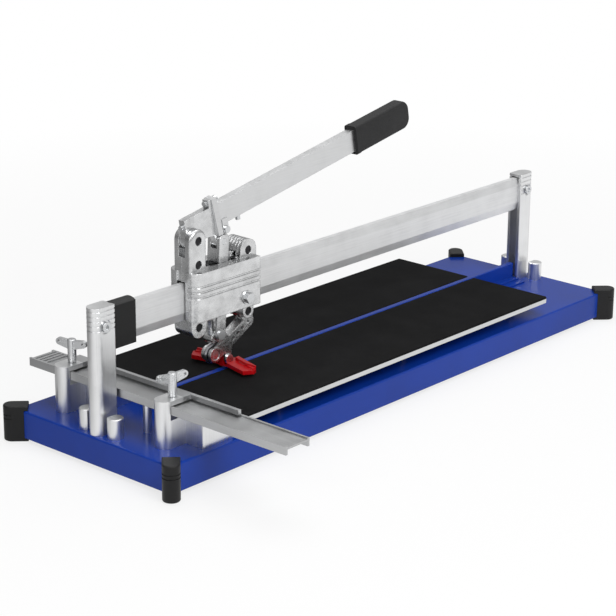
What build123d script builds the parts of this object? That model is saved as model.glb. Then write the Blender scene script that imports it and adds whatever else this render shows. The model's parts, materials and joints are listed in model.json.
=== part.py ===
from build123d import *
import math
import os

# Manual tile cutter. Millimetres, +X from the fence end to the rear along the rail, +Y to the left, +Z up.
# The origin lies on the floor under the middle of the base.

# Base pan, folded from sheet
base_length = 896.0
base_width = 275.0
skirt_bottom = 5.0
base_top = 41.0
base_sheet = 2.0
base_bend_radius = 2.5
base_corner_radius = 3.0

# Corner feet, set on the diagonals of the pan
foot_width = 22.0
foot_reach_out = 15.5
foot_reach_in = 16.0
foot_cap_height = 6.0
foot_edge_radius = 2.0
foot_groove_depth = 0.8
foot_groove_width = 1.6
foot_groove_drops = (5.0, 10.0)

# Rail and the two columns that clamp it
rail_bottom = 150.0
rail_height = 47.5
rail_thickness = 12.0
rail_bevel_height = 11.0
rail_bevel_depth = 2.5
rail_embed = 12.0
rail_side_clearance = 0.15
column_width = 22.0
column_length = 33.0
column_edge_radius = 2.0
column_cover = 5.0
column_slot_depth = 22.0
column_slot_roof = 3.5
column_groove_width = 1.8
column_groove_depth = 0.9
column_groove_pitch = 6.0
column_groove_count = 5
front_column_inset = 35.5
rear_column_inset = 42.5

# Pinch screws of the columns
clamp_screw_radius = 4.0
clamp_screw_setback = 16.5
clamp_screw_drop = 19.5
clamp_head_radius = 6.5
clamp_head_height = 5.0
clamp_socket_radius = 3.4
clamp_seat_radius = 8.8
clamp_seat_depth = 2.0
screw_clearance = 0.2

# Rubber stop on the front end of the rail
stop_length = 34.0
stop_wall = 4.0
stop_bottom_wall = 4.0
stop_crown = 5.5
stop_edge_radius = 3.0

# Round stubs beside the columns
stub_radius = 10.0
stub_height = 26.0
stub_inset = 18.0
stub_y = 25.0
stub_flat_depth = 2.5

# Sprung tables, rubber mats and the breaking ridge between them
table_front_inset = 118.0
table_rear_inset = 143.0
table_side_inset = 2.0
table_inner_y = 5.0
table_plate = 6.0
table_corner_radius = 2.0
table_lift = 17.0
table_travel = 4.0
mat_thickness = 3.0
mat_edge_radius = 0.8
ridge_half_width = 4.0
ridge_sheet = 2.0
ridge_rear_gap = 2.0
ridge_flange_reach = 26.0
ridge_step_reach = 15.0
ridge_step_height = 5.0

# Guide studs and springs under the tables
stud_count = 3
stud_front_inset = 118.0
stud_rear_inset = 27.0
stud_side_inset = 43.5
stud_radius = 3.0
stud_head_radius = 6.0
stud_head_height = 3.0
stud_clearance = 0.08
stud_tail = 2.0
nut_height = 5.0
nut_radius = 5.8
spring_mean_radius = 5.6
spring_wire_radius = 0.7
spring_turns = 2.5
spring_bend_rise = 2.6
spring_bend_turn = 0.12

# Clamp posts that carry the fence
post_nose_inset = 49.5
post_nose_lag = 1.0
post_nose_radius = 12.0
post_block_front = 23.0
post_block_rear = 74.0
post_block_near = 41.0
post_block_far = 2.0
post_neck = 8.0
post_blend_radius = 6.0
post_corner_radius = 2.5
post_floor_height = 36.0
lip_thickness = 6.0
lip_depth = 21.0

# Sliding fence bar, bridge over it and the rests under it
bar_column_gap = 2.5
bar_width = 40.0
bar_underside = 43.0
bar_height = 10.5
bar_leg = 3.0
bar_web = 2.5
bar_web_drop = 1.5
bar_clearance = 0.5
bar_left_y = 152.0
bar_right_y = -283.0
bar_rib_count = 4
bar_rib_pitch = 7.0
bar_rib_width = 3.0
bar_rib_end_gap = 4.0
bridge_width = 17.0
bridge_strip_width = 5.0
bridge_strip_run = 90.0
rest_radius = 5.5
rest_inset = 49.0
rest_front_gap = 17.0

# Wing screws
wing_thread_radius = 4.0
wing_thread_clearance = 0.08
wing_lip_inset = 14.5
wing_tip_gap = 0.1
wing_lift = 1.0
wing_barrel_radius = 5.5
wing_barrel_height = 29.0
wing_lobe_radius = 4.5
wing_lobe_offset = 17.0
wing_lobe_drop = 5.0
wing_root_radius = 6.0
wing_root_drop = 8.0
wing_thickness = 5.0
wing_hole_radius = 2.0
wing_turns = {"right": -10.0, "left": -73.0}

# Bolts under the pan: shank radius, head radius and head height
bolt_radius = 3.0
bolt_head_radius = 5.8
bolt_head_height = 4.0
bolt_grip = 14.0

# Rollers of the carriage
roller_radius = 11.0
roller_width = 7.0
roller_gap = 0.2
axle_radius = 4.0
axle_clearance = 0.05
upper_roller_inset = 12.0
upper_axle_reach = 12.0

# Carriage shells; places along the rail are measured from the front axle
carriage_setback = 137.5
axle_spacing = 89.0
plate_front = 16.5
plate_rear = 11.0
plate_drop = 0.5
plate_rise = 15.0
plate_outer_y = 25.5
plate_front_radius = 14.0
shell_inner_y = 7.3
ear_inner_y = 5.3
ear_outer_y = 15.0
ear_radius = 14.5
ear_edge_radius = 4.0
lower_ear_radius = 13.5
rear_ear_radius = 9.5
ear_root_gap = 2.0
front_wall = 6.0
front_wall_drop = 20.0
roller_guard_gap = 0.8
ear_groove_width = 2.0
ear_groove_depth = 1.4
ear_groove_spots = (0.0, 5.0, 10.0)
plate_groove_drops = (16.5, 23.5, 30.5)
plate_groove_width = 2.4
plate_groove_depth = 1.2
tie_height = 23.0
tie_radius = 3.0
bolt_seat_radius = 5.6
bolt_seat_depth = 4.0
bolt_cap_height = 2.5
bolt_cap_gap = 0.1
leg_slot_front = 26.0
leg_slot_rear = 73.0
leg_slot_clearance = 0.5
adjuster_x = 76.0
adjuster_height = 13.0
adjuster_radius = 5.0
adjuster_washer_radius = 9.0
adjuster_washer_height = 1.5
adjuster_head_radius = 7.2
adjuster_head_height = 5.0
pad_radius = 7.0
pad_gap = 0.2

# Lever: head, welded flange, tube and grip; the head's edges are measured along and square to the tube
pivot_height = 53.5
head_half_width = 5.0
head_pivot_radius = 13.0
head_length = 49.0
head_top = 14.5
head_nose_height = 15.0
head_chin_run = 38.0
head_chin_drop = 3.0
head_lug = 5.0
lever_slope = 10.5
flange_run = 36.7
flange_rise = 21.0
flange_thickness = 8.0
flange_half_top = 6.5
flange_half_foot = 10.5
flange_height = 49.0
tube_height = 29.8
tube_width = 11.0
tube_wall = 2.0
tube_length = 366.0
grip_start = 273.0
grip_length = 112.0
grip_wall_side = 4.0
grip_wall_top = 4.6
grip_end_radius = 14.0
grip_edge_radius = 3.5
grip_lip = 0.6
grip_lip_length = 7.0
flange_bolt_radius = 2.5
flange_bolt_head_radius = 4.8
flange_bolt_head_height = 4.5
flange_bolt_offset = 19.8
flange_nut_radius = 3.9
flange_nut_height = 3.5
lug_bolt_run = 17.0
lug_bolt_drop = 22.5
lug_bolt_head_radius = 4.6
lug_bolt_head_height = 2.8
lug_radius = 4.9
lug_thickness = 2.0
lug_rise = 7.0
nose_screw_drop = 9.0
nose_screw_radius = 3.4
nose_screw_height = 4.0
under_screw_run = 46.0
under_screw_radius = 3.2
under_screw_height = 7.0
small_shank_radius = 2.0
small_shank_length = 8.0

# Push rod: a yoke with one leg on each side of the rail
rod_pin_run = 50.5
rod_pin_drop = 12.0
rod_pin_radius = 4.0
rod_head_radius = 8.5
rod_foot_radius = 8.0
rod_leg_inner_y = 7.3
rod_leg = 3.0
rod_slot_clearance = 0.3
rod_slot_drop = 9.0
rod_block_drop = 26.0
rod_shoulder_rise = 5.4
rod_crown_rise = 8.7
rod_crown_half = 5.0
rod_tongue_radius = 8.5

# Wheel arm; places are measured from its pivot on the rear lower axle
arm_pin_run = -45.5
arm_pin_drop = -21.8
arm_pin_radius = 4.0
arm_pin_play = 1.15
arm_pin_cap_radius = 6.5
arm_pin_cap_height = 1.5
arm_pin_cap_gap = 0.2
wheel_run = -53.0
wheel_drop = -47.3
toe_run = -29.0
toe_drop = -58.8
screw_run = -54.5
screw_drop = -25.8
arm_inner_y = 3.9
arm_cheek = 3.0
arm_pivot_radius = 9.0
arm_elbow_run = 10.0
arm_elbow_drop = -16.8
arm_fork_run = -28.0
arm_fork_drop = -37.8
arm_band_radius = 8.0
arm_fork_radius = 7.0
arm_pin_boss = 8.5
arm_wheel_boss = 10.0
arm_toe_boss = 5.5
arm_screw_boss = 5.5
arm_web_radius = 7.0
arm_web_start = 0.2
arm_web_end = 0.82
arm_hole_radius = 2.2
arm_hole_spots = (0.05, 0.32, 0.56, 0.8)
hub_ring_height = 1.5
hub_ring_inner = 6.6
height_screw_radius = 3.0
height_screw_collar_radius = 3.8
height_screw_collar_bottom = 7.0
height_screw_collar_top = 12.6
height_screw_head_bottom = 15.0
height_screw_top = 23.5
height_screw_head_radius = 4.5

# Cutting wheel
wheel_radius = 12.5
wheel_rim = 3.0
wheel_bevel = 2.5
wheel_edge = 0.6
wheel_hub_radius = 6.0
wheel_side_gap = 0.3
wheel_axle_radius = 3.0
wheel_axle_head = 6.0
wheel_axle_head_height = 0.8

# Breaker foot
breaker_half_span = 54.0
breaker_tip_run = -2.0
breaker_root_y = 10.2
breaker_root_front = -6.0
breaker_root_rear = 15.5
breaker_front_corner_y = 45.5
breaker_front_corner_run = -14.0
breaker_rear_corner_y = 51.5
breaker_rear_corner_run = 4.0
breaker_thickness = 6.0
breaker_drop = 9.5
breaker_rim_height = 4.0
breaker_rim_width = 6.0
breaker_edge_radius = 1.5
breaker_lug_half_width = 3.6
breaker_lug_radius = 6.0
breaker_pin_radius = 2.5
breaker_pin_head_radius = 6.5
breaker_pin_head_height = 2.5
breaker_floor = 2.2
arm_toe_clearance = 0.7
arm_side_clearance = 0.4

# Heights and places that follow from the sizes above
front_column_face_x = front_column_inset - base_length / 2
rear_column_face_x = base_length / 2 - rear_column_inset
stub_x = base_length / 2 - stub_inset
table_front_x = table_front_inset - base_length / 2
table_rear_x = base_length / 2 - table_rear_inset
table_outer_y = base_width / 2 - table_side_inset
stud_span = table_rear_x - table_front_x - stud_front_inset - stud_rear_inset
stud_pitch = stud_span / (stud_count - 1)
stud_xs = [table_front_x + stud_front_inset + step * stud_pitch for step in range(stud_count)]
stud_y = table_outer_y - stud_side_inset
post_nose_y = base_width / 2 - post_nose_inset
rest_y = post_nose_y - rest_inset
carriage_x = front_column_face_x + carriage_setback
rail_top = rail_bottom + rail_height
column_top = rail_top + column_cover
rail_half = rail_thickness / 2
lower_axle_z = rail_bottom - roller_gap - roller_radius
upper_axle_z = rail_top + roller_gap + roller_radius
rear_axle_x = carriage_x + axle_spacing
plate_bottom = rail_bottom - plate_drop
plate_top = rail_top + plate_rise
tie_z = rail_top + tie_height
pivot_z = rail_top + pivot_height
table_bottom = base_top + table_lift
table_top = table_bottom + table_plate
mat_top = table_top + mat_thickness
post_floor = base_top + post_floor_height
bar_bottom = base_top + bar_underside
bar_top = bar_bottom + bar_height
slot_top = bar_top + bar_clearance
lip_top = slot_top + lip_thickness
bar_front_x = front_column_face_x + bar_column_gap
bar_rear_x = bar_front_x + bar_width
nose_x = bar_front_x + post_nose_lag
bridge_front_x = bar_front_x + lip_depth
bridge_rear_x = bridge_front_x + bridge_width
wing_x = bar_front_x + wing_lip_inset
rod_pin_x = carriage_x + rod_pin_run
rod_pin_z = pivot_z - rod_pin_drop
arm_pin_x = rear_axle_x + arm_pin_run
arm_pin_z = lower_axle_z + arm_pin_drop
wheel_x = rear_axle_x + wheel_run
wheel_z = lower_axle_z + wheel_drop
toe_x = rear_axle_x + toe_run
toe_z = lower_axle_z + toe_drop
screw_x = rear_axle_x + screw_run
screw_z = lower_axle_z + screw_drop
sides = {"right": -1, "left": 1}

os.makedirs("parts", exist_ok=True)


def save(piece, name):
    piece.part.label = name
    export_step(piece.part, f"parts/{name}.step")


def across(y):
    """Plane with X to the right and Z up, standing at y; extrusion runs towards the right side."""
    return Plane.XZ.offset(-y)


# Every bolt that comes up through the pan: x, y
column_bolt_setback = (column_slot_depth + column_length) / 2
post_bolt_x = nose_x + (post_block_front + post_block_rear) / 2
post_bolt_shift = (post_block_near - post_block_far) / 2
rest_x = bar_front_x + rest_front_gap + bar_leg
base_bolt_spots = [
    (front_column_face_x - column_bolt_setback, 0),
    (rear_column_face_x + column_bolt_setback, 0),
    (post_bolt_x, post_nose_y - post_bolt_shift),
    (post_bolt_x, -post_nose_y - post_bolt_shift),
    (rest_x, rest_y),
    (rest_x, -rest_y),
]
for stub_side_x in (-stub_x, stub_x):
    for stub_side_y in (-stub_y, stub_y):
        base_bolt_spots.append((stub_side_x, stub_side_y))
stud_spots = {side: [(x, sign * stud_y) for x in stud_xs] for side, sign in sides.items()}


# Base pan
with BuildPart() as base_pan:
    with BuildSketch(Plane.XY.offset(skirt_bottom)):
        RectangleRounded(base_length, base_width, base_corner_radius)
    extrude(amount=base_top - skirt_bottom)
    fillet(base_pan.faces().sort_by(Axis.Z)[-1].edges(), base_bend_radius)
    with BuildSketch(Plane.XY.offset(skirt_bottom)):
        Rectangle(base_length - 2 * base_sheet, base_width - 2 * base_sheet)
    extrude(amount=base_top - skirt_bottom - base_sheet, mode=Mode.SUBTRACT)
    with BuildSketch(Plane.XY.offset(base_top)):
        with Locations(*base_bolt_spots):
            Circle(bolt_radius)
        for spots in stud_spots.values():
            with Locations(*spots):
                Circle(stud_radius + stud_clearance)
    extrude(amount=-base_sheet, mode=Mode.SUBTRACT)
save(base_pan, "base_pan")

with BuildPart() as base_bolts:
    with BuildSketch(Plane.XY.offset(base_top - base_sheet - bolt_head_height)):
        with Locations(*base_bolt_spots):
            RegularPolygon(bolt_head_radius, 6)
    extrude(amount=bolt_head_height)
    with BuildSketch(Plane.XY.offset(base_top - base_sheet)):
        with Locations(*base_bolt_spots):
            Circle(bolt_radius)
    extrude(amount=base_sheet + bolt_grip)
save(base_bolts, "base_bolts")


def corner_foot(sign_x, sign_y, name):
    corner = Plane(
        origin=(sign_x * base_length / 2, sign_y * base_width / 2, 0),
        x_dir=(sign_x, sign_y, 0),
        z_dir=(0, 0, 1),
    )
    nose_centre = foot_reach_out - foot_width / 2
    foot_top = base_top + foot_cap_height
    with BuildPart() as foot:
        with BuildSketch(corner):
            with Locations((nose_centre, 0)):
                Circle(foot_width / 2)
            with Locations(((nose_centre - foot_reach_in) / 2, 0)):
                Rectangle(nose_centre + foot_reach_in, foot_width)
        extrude(amount=foot_top)
        fillet(foot.faces().sort_by(Axis.Z)[-1].edges(), foot_edge_radius)
        fillet(foot.faces().sort_by(Axis.Z)[0].edges(), foot_edge_radius)
        for drop in foot_groove_drops:
            with BuildSketch(corner.offset(base_top - drop)):
                with Locations((nose_centre, 0)):
                    Circle(foot_width / 2 + foot_groove_depth)
                    Circle(foot_width / 2 - foot_groove_depth, mode=Mode.SUBTRACT)
                with Locations((nose_centre - foot_width, 0)):
                    Rectangle(2 * foot_width, 2 * foot_width, mode=Mode.SUBTRACT)
            extrude(amount=-foot_groove_width, mode=Mode.SUBTRACT)
        with BuildSketch(Plane.XY.offset(skirt_bottom)):
            RectangleRounded(base_length, base_width, base_corner_radius)
        extrude(amount=base_top - skirt_bottom, mode=Mode.SUBTRACT)
    save(foot, name)


for end, sign_x in {"front": -1, "rear": 1}.items():
    for side, sign_y in sides.items():
        corner_foot(sign_x, sign_y, f"foot_{end}_{side}")


def column_outline(sketch, face_x, outward):
    """Flat face with rounded corners towards the rail, round nose outwards."""
    nose_centre = face_x + outward * (column_length - column_width / 2)
    with Locations((nose_centre, 0)):
        Circle(column_width / 2)
    with Locations(((face_x + nose_centre) / 2, 0)):
        Rectangle(abs(nose_centre - face_x), column_width)
    fillet(sketch.vertices().filter_by(lambda v: abs(v.X - face_x) < 0.1), column_edge_radius)


def column(face_x, outward, name):
    screw_spot = (face_x + outward * clamp_screw_setback, rail_top - clamp_screw_drop)
    with BuildPart() as post:
        with BuildSketch(Plane.XY.offset(base_top)) as outline:
            column_outline(outline, face_x, outward)
        extrude(amount=column_top - base_top)
        for step in range(column_groove_count):
            groove_top = column_top - column_slot_roof - step * column_groove_pitch
            with BuildSketch(Plane.XY.offset(groove_top)) as ring:
                column_outline(ring, face_x, outward)
                offset(amount=-column_groove_depth, kind=Kind.INTERSECTION, mode=Mode.SUBTRACT)
            extrude(amount=-column_groove_width, mode=Mode.SUBTRACT)
        with BuildSketch(Plane.XY.offset(base_top)):
            with Locations((face_x + outward * column_slot_depth / 2, 0)):
                Rectangle(column_slot_depth, rail_thickness + 2 * rail_side_clearance)
        extrude(amount=column_top - column_slot_roof - base_top, mode=Mode.SUBTRACT)
        with BuildSketch(across(column_width / 2)):
            with Locations(screw_spot):
                Circle(clamp_screw_radius + screw_clearance)
        extrude(amount=column_width, mode=Mode.SUBTRACT)
        for seat_y in (column_width / 2, clamp_seat_depth - column_width / 2):
            with BuildSketch(across(seat_y)):
                with Locations(screw_spot):
                    Circle(clamp_seat_radius)
            extrude(amount=clamp_seat_depth, mode=Mode.SUBTRACT)
        with BuildSketch(Plane.XY.offset(base_top)):
            with Locations(*base_bolt_spots):
                Circle(bolt_radius)
        extrude(amount=bolt_grip, mode=Mode.SUBTRACT)
    save(post, name)


column(front_column_face_x, -1, "front_column")
column(rear_column_face_x, 1, "rear_column")

clamp_spots = [
    (front_column_face_x - clamp_screw_setback, rail_top - clamp_screw_drop),
    (rear_column_face_x + clamp_screw_setback, rail_top - clamp_screw_drop),
]
clamp_floor_y = column_width / 2 - clamp_seat_depth
with BuildPart() as column_screws:
    with BuildSketch(across(clamp_floor_y + nut_height)):
        with Locations(*clamp_spots):
            Circle(clamp_screw_radius)
    extrude(amount=2 * clamp_floor_y + nut_height)
    with BuildSketch(across(-clamp_floor_y)):
        with Locations(*clamp_spots):
            Circle(clamp_head_radius)
    extrude(amount=clamp_head_height)
    with BuildSketch(across(-clamp_floor_y - clamp_head_height)):
        with Locations(*clamp_spots):
            RegularPolygon(clamp_socket_radius, 6)
    extrude(amount=clamp_head_height / -2, mode=Mode.SUBTRACT)
save(column_screws, "column_screws")

with BuildPart() as column_nuts:
    with BuildSketch(across(clamp_floor_y + nut_height)):
        with Locations(*clamp_spots):
            RegularPolygon(clamp_head_radius + 1, 6)
            Circle(clamp_screw_radius, mode=Mode.SUBTRACT)
    extrude(amount=nut_height)
save(column_nuts, "column_nuts")


def rail_section(play):
    """Flat bar with its four long edges bevelled, grown by play all round."""
    half = rail_half + play
    edge = half - rail_bevel_depth
    low = rail_bottom - play
    high = rail_top + play
    Polygon(
        (-edge, low),
        (edge, low),
        (half, low + rail_bevel_height),
        (half, high - rail_bevel_height),
        (edge, high),
        (-edge, high),
        (-half, high - rail_bevel_height),
        (-half, low + rail_bevel_height),
        align=None,
    )


rail_front_x = front_column_face_x - rail_embed
rail_rear_x = rear_column_face_x + rail_embed
with BuildPart() as rail:
    with BuildSketch(Plane.YZ.offset(rail_front_x)):
        rail_section(0)
    extrude(amount=rail_rear_x - rail_front_x)
save(rail, "rail")

with BuildPart() as rail_stop:
    stop_half = rail_half + stop_wall
    stop_low = rail_bottom - stop_bottom_wall
    stop_shoulder = rail_top + stop_crown - stop_edge_radius
    with BuildSketch(Plane.YZ.offset(front_column_face_x)):
        with BuildLine():
            Polyline(
                (-stop_half, stop_shoulder),
                (-stop_half, stop_low),
                (stop_half, stop_low),
                (stop_half, stop_shoulder),
            )
            ThreePointArc(
                (stop_half, stop_shoulder),
                (0, rail_top + stop_crown),
                (-stop_half, stop_shoulder),
            )
        make_face()
    extrude(amount=stop_length)
    with BuildSketch(Plane.YZ.offset(front_column_face_x)):
        rail_section(0)
    extrude(amount=stop_length, mode=Mode.SUBTRACT)
save(rail_stop, "rail_stop")

with BuildPart() as base_stubs:
    with BuildSketch(Plane.XY.offset(base_top)):
        for stub_side_y in (-stub_y, stub_y):
            inward = -math.copysign(1, stub_side_y)
            for stub_side_x in (-stub_x, stub_x):
                with Locations((stub_side_x, stub_side_y)):
                    Circle(stub_radius)
                with Locations((stub_side_x, stub_side_y + inward * (2 * stub_radius - stub_flat_depth))):
                    Rectangle(2 * stub_radius, 2 * stub_radius, mode=Mode.SUBTRACT)
    extrude(amount=stub_height)
    with BuildSketch(Plane.XY.offset(base_top)):
        with Locations(*base_bolt_spots):
            Circle(bolt_radius)
    extrude(amount=bolt_grip, mode=Mode.SUBTRACT)
    chamfer(base_stubs.faces().filter_by(Axis.Z).group_by(Axis.Z)[-1].edges(), 1)
save(base_stubs, "base_stubs")

# Breaking ridge: a hat section whose crown is level with the mats
with BuildPart() as ridge:
    with BuildSketch(Plane.YZ.offset(table_front_x)):
        with Locations((0, base_top)):
            Rectangle(2 * ridge_flange_reach, ridge_sheet, align=(Align.CENTER, Align.MIN))
            Rectangle(2 * ridge_step_reach, ridge_step_height, align=(Align.CENTER, Align.MIN))
            Rectangle(2 * ridge_half_width, mat_top - base_top, align=(Align.CENTER, Align.MIN))
            Rectangle(
                2 * (ridge_half_width - ridge_sheet),
                mat_top - base_top - ridge_sheet,
                align=(Align.CENTER, Align.MIN),
                mode=Mode.SUBTRACT,
            )
    extrude(amount=rear_column_face_x - ridge_rear_gap - table_front_x)
    chamfer(ridge.faces().sort_by(Axis.Z)[-1].edges().filter_by(Axis.X), ridge_sheet / 2)
save(ridge, "ridge")


def table(side, sign):
    middle = ((table_front_x + table_rear_x) / 2, sign * (table_inner_y + table_outer_y) / 2)
    length = table_rear_x - table_front_x
    width = table_outer_y - table_inner_y
    with BuildPart() as plate:
        with BuildSketch(Plane.XY.offset(table_bottom)):
            with Locations(middle):
                RectangleRounded(length, width, table_corner_radius)
        extrude(amount=table_plate)
        with BuildSketch(Plane.XY.offset(table_top)):
            with Locations(*stud_spots[side]):
                Circle(stud_head_radius)
        extrude(amount=-stud_head_height, mode=Mode.SUBTRACT)
        with BuildSketch(Plane.XY.offset(table_bottom)):
            with Locations(*stud_spots[side]):
                Circle(stud_radius)
        extrude(amount=table_plate, mode=Mode.SUBTRACT)
    save(plate, f"table_plate_{side}")

    with BuildPart() as mat:
        with BuildSketch(Plane.XY.offset(table_top)):
            with Locations(middle):
                RectangleRounded(length, width, table_corner_radius)
        extrude(amount=mat_thickness)
        chamfer(mat.faces().sort_by(Axis.Z)[-1].edges(), mat_edge_radius)
    save(mat, f"table_mat_{side}")

    stud_bottom = base_top - base_sheet - nut_height - stud_tail
    with BuildPart() as studs:
        with BuildSketch(Plane.XY.offset(stud_bottom)):
            with Locations(*stud_spots[side]):
                Circle(stud_radius)
        extrude(amount=table_top - stud_bottom)
        with BuildSketch(Plane.XY.offset(table_top - stud_head_height)):
            with Locations(*stud_spots[side]):
                Circle(stud_head_radius)
        extrude(amount=stud_head_height)
    save(studs, f"table_studs_{side}")

    with BuildPart() as nuts:
        with BuildSketch(Plane.XY.offset(base_top - base_sheet - nut_height)):
            with Locations(*stud_spots[side]):
                RegularPolygon(nut_radius, 6)
                Circle(stud_radius, mode=Mode.SUBTRACT)
        extrude(amount=nut_height)
    save(nuts, f"table_nuts_{side}")


for side, sign in sides.items():
    table(side, sign)

# Table springs: a helix made of a pair of tangent arcs for each half turn. Each end bends away from the
# helix to stand upright, and runs straight for one wire diameter on to the pan or the table plate.
spring_wire = 2 * spring_wire_radius
spring_low = base_top + spring_wire + spring_bend_rise
spring_high = table_bottom - spring_wire - spring_bend_rise
spring_rise = (spring_high - spring_low) / spring_turns
upright = Vector(0, 0, 1)


def spring_point(turn, z):
    angle = 2 * math.pi * turn
    return Vector(spring_mean_radius * math.cos(angle), spring_mean_radius * math.sin(angle), z)


def helix_point(turn):
    return spring_point(turn, spring_low + spring_rise * turn)


def helix_heading(turn):
    angle = 2 * math.pi * turn
    circumference = 2 * math.pi * spring_mean_radius
    heading = Vector(-circumference * math.sin(angle), circumference * math.cos(angle), spring_rise)
    return heading.normalized()


def biarc_joint(start, start_heading, end, end_heading):
    """Where two arcs meet that leave start and reach end along the headings, and their heading there."""
    chord = end - start
    total = start_heading + end_heading
    along = chord.dot(total)
    spread = 2 * (1 - start_heading.dot(end_heading))
    reach = (math.sqrt(along**2 + spread * chord.dot(chord)) - along) / spread
    first = start + start_heading * reach
    second = end - end_heading * reach
    return (first + second) * 0.5, (second - first).normalized()


spring_start = spring_point(-spring_bend_turn, base_top + spring_wire)
spring_stop = spring_point(spring_turns + spring_bend_turn, table_bottom - spring_wire)
knots = [(spring_start, upright)]
for half in range(round(2 * spring_turns) + 1):
    knots.append((helix_point(half / 2), helix_heading(half / 2)))
knots.append((spring_stop, upright))

with BuildPart() as spring:
    with BuildLine() as spring_path:
        Line(spring_start - upright * spring_wire, spring_start)
        for (start, start_heading), (end, end_heading) in zip(knots, knots[1:]):
            joint, joint_heading = biarc_joint(start, start_heading, end, end_heading)
            TangentArc(start, joint, tangent=start_heading)
            TangentArc(joint, end, tangent=joint_heading)
        Line(spring_stop, spring_stop + upright * spring_wire)
    with BuildSketch(Plane(origin=spring_start - upright * spring_wire, z_dir=upright)):
        Circle(spring_wire_radius)
    sweep(path=spring_path.wires()[0])

wire_line = spring_path.wires()[0]
wire_points = [wire_line.position_at(n / 200) for n in range(201)]
half_turn_length = math.pi * spring_mean_radius
apart = math.ceil(200 * half_turn_length / wire_line.length)
spring_gap = min(
    (wire_points[b] - wire_points[a]).length - spring_wire
    for a in range(len(wire_points))
    for b in range(a + apart, len(wire_points))
)
tightest = min(edge.radius for edge in spring_path.edges().filter_by(GeomType.CIRCLE))
print(f"table spring: least gap to itself {spring_gap:.2f} mm, tightest bend {tightest:.2f} mm")

for side in sides:
    with BuildPart() as springs:
        with Locations(*stud_spots[side]):
            add(spring.part)
    save(springs, f"table_springs_{side}")


def clamp_post(nose_y, name):
    """Extruded post: round nose in front, block set to the right behind it, and a lip over the fence bar."""
    with BuildPart() as post:
        with BuildSketch(Plane.XY.offset(base_top)) as outline:
            with BuildLine():
                Polyline(
                    (nose_x, nose_y + post_nose_radius),
                    (nose_x + post_neck, nose_y + post_nose_radius),
                    (nose_x + post_block_front, nose_y + post_block_far),
                    (nose_x + post_block_rear, nose_y + post_block_far),
                    (nose_x + post_block_rear, nose_y - post_block_near),
                    (nose_x + post_block_front, nose_y - post_block_near),
                    (nose_x + post_block_front, nose_y - post_nose_radius),
                    (nose_x, nose_y - post_nose_radius),
                    close=True,
                )
            make_face()
            corners = outline.vertices().filter_by(lambda v: v.X > nose_x + 1)
            corners = corners.filter_by(lambda v: v.X < nose_x + post_block_rear - 1).sort_by(Axis.Y)
            fillet(corners[0], post_corner_radius)
            fillet(corners[1:], post_blend_radius)
            with Locations((nose_x, nose_y)):
                Circle(post_nose_radius)
        extrude(amount=post_floor - base_top)
        with BuildSketch(Plane.XY.offset(post_floor)):
            with Locations((nose_x, nose_y)):
                Circle(post_nose_radius)
                Rectangle(bridge_front_x - nose_x, 2 * post_nose_radius, align=(Align.MIN, Align.CENTER))
        extrude(amount=lip_top - post_floor)
        with BuildSketch(Plane.XY.offset(post_floor)):
            with Locations((bar_front_x - bar_clearance, nose_y)):
                Rectangle(bar_width, 4 * post_nose_radius, align=(Align.MIN, Align.CENTER))
        extrude(amount=slot_top - post_floor, mode=Mode.SUBTRACT)
        with BuildSketch(Plane.XY.offset(slot_top)):
            with Locations((wing_x, nose_y)):
                Circle(wing_thread_radius + wing_thread_clearance)
        extrude(amount=lip_thickness, mode=Mode.SUBTRACT)
        with BuildSketch(Plane.XY.offset(base_top)):
            with Locations(*base_bolt_spots):
                Circle(bolt_radius)
        extrude(amount=bolt_grip, mode=Mode.SUBTRACT)
    save(post, name)


for side, sign in sides.items():
    clamp_post(sign * post_nose_y, f"clamp_post_{side}")

# Bridge: an arm on from each post's lip, joined by a narrow strip that goes on to the right
strip_left_y = post_nose_y + post_nose_radius
strip_right_y = -post_nose_y - bridge_strip_run
with BuildPart() as fence_bridge:
    with BuildSketch(Plane.XY.offset(slot_top)):
        with Locations((bridge_front_x, post_nose_y), (bridge_front_x, -post_nose_y)):
            Rectangle(bridge_width, 2 * post_nose_radius, align=(Align.MIN, Align.CENTER))
        with Locations((bridge_rear_x, strip_left_y)):
            Rectangle(bridge_strip_width, strip_left_y - strip_right_y, align=(Align.MAX, Align.MAX))
    extrude(amount=lip_thickness)
save(fence_bridge, "fence_bridge")

# Sliding fence bar: a channel with its legs down and finger ribs near its left end
web_top = bar_top - bar_web_drop
web_bottom = web_top - bar_web
with BuildPart() as fence_bar:
    with BuildSketch(across(bar_left_y)):
        with Locations((bar_front_x, bar_bottom)):
            Rectangle(bar_leg, bar_height, align=(Align.MIN, Align.MIN))
        with Locations((bar_rear_x, bar_bottom)):
            Rectangle(bar_leg, bar_height, align=(Align.MAX, Align.MIN))
        with Locations((bar_front_x, web_bottom)):
            Rectangle(bar_width, bar_web, align=(Align.MIN, Align.MIN))
    extrude(amount=bar_left_y - bar_right_y)
    with BuildSketch(Plane.XY.offset(web_top)):
        for step in range(bar_rib_count):
            rib_y = bar_left_y - bar_rib_end_gap - step * bar_rib_pitch
            with Locations((bar_front_x, rib_y)):
                Rectangle(bar_width, bar_rib_width, align=(Align.MIN, Align.MAX))
    extrude(amount=bar_web_drop)
save(fence_bar, "fence_bar")

for side, sign in sides.items():
    with BuildPart() as bar_rest:
        with BuildSketch(Plane.XY.offset(base_top)):
            with Locations((rest_x, sign * rest_y)):
                Circle(rest_radius)
        extrude(amount=web_bottom - base_top)
        with BuildSketch(Plane.XY.offset(base_top)):
            with Locations(*base_bolt_spots):
                Circle(bolt_radius)
        extrude(amount=bolt_grip, mode=Mode.SUBTRACT)
    save(bar_rest, f"bar_rest_{side}")

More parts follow.
